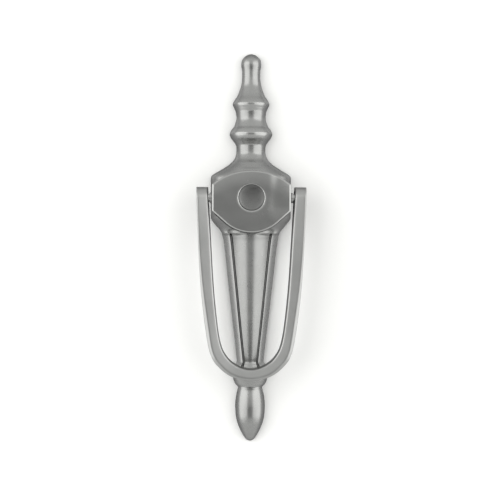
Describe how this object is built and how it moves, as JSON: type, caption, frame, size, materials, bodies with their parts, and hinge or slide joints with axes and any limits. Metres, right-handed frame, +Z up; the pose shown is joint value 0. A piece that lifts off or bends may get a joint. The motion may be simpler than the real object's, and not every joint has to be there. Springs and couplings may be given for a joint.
{
  "type": "door knocker",
  "caption": "Turned and ribbed door knocker with a swinging U-shaped bail on pivot pins and a blanked viewer opening in its housing.",
  "frame": {"origin": "on the back face, at half the plate's height and on its centre line", "axes": "+Z up the door along the plate, +Y into the door (out of the back face), so the front faces -Y; +X across"},
  "size_m": [0.056, 0.021, 0.2002],
  "materials": {
    "satin_casting": "satin pewter plating",
    "satin_bail": "satin pewter plating",
    "steel": "bright",
    "dark_blank": "dark satin",
    "spring_steel": "oiled",
    "zinc_screw": "zinc plated",
    "brass": "machined",
    "acetal": "moulded",
    "foam": "foam"
  },
  "bodies": {
    "plate": {"backplate": "satin_casting", "back_gasket": "foam", "boss_housing": "satin_casting", "viewer_blank": "dark_blank", "viewer_clip": "spring_steel", "boss_screw_upper": "zinc_screw", "boss_screw_lower": "zinc_screw", "insert_upper": "brass", "insert_lower": "brass", "pivot_pin_left": "steel", "pivot_pin_right": "steel", "pivot_spacer_left": "steel", "pivot_spacer_right": "steel", "pin_grub_left": "zinc_screw", "pin_grub_right": "zinc_screw", "strike_pad": "acetal"},
    "bail": {"bail": "satin_bail", "bail_bush_left": "acetal", "bail_bush_right": "acetal", "striker_stud": "steel"}
  },
  "joints": [
    {"name": "bail_swing", "type": "hinge", "parent": "plate", "child": "bail", "pos_m": [0, -0.015, 0.0252], "axis": [-1, 0, 0], "range_deg": [0, 185]}
  ]
}
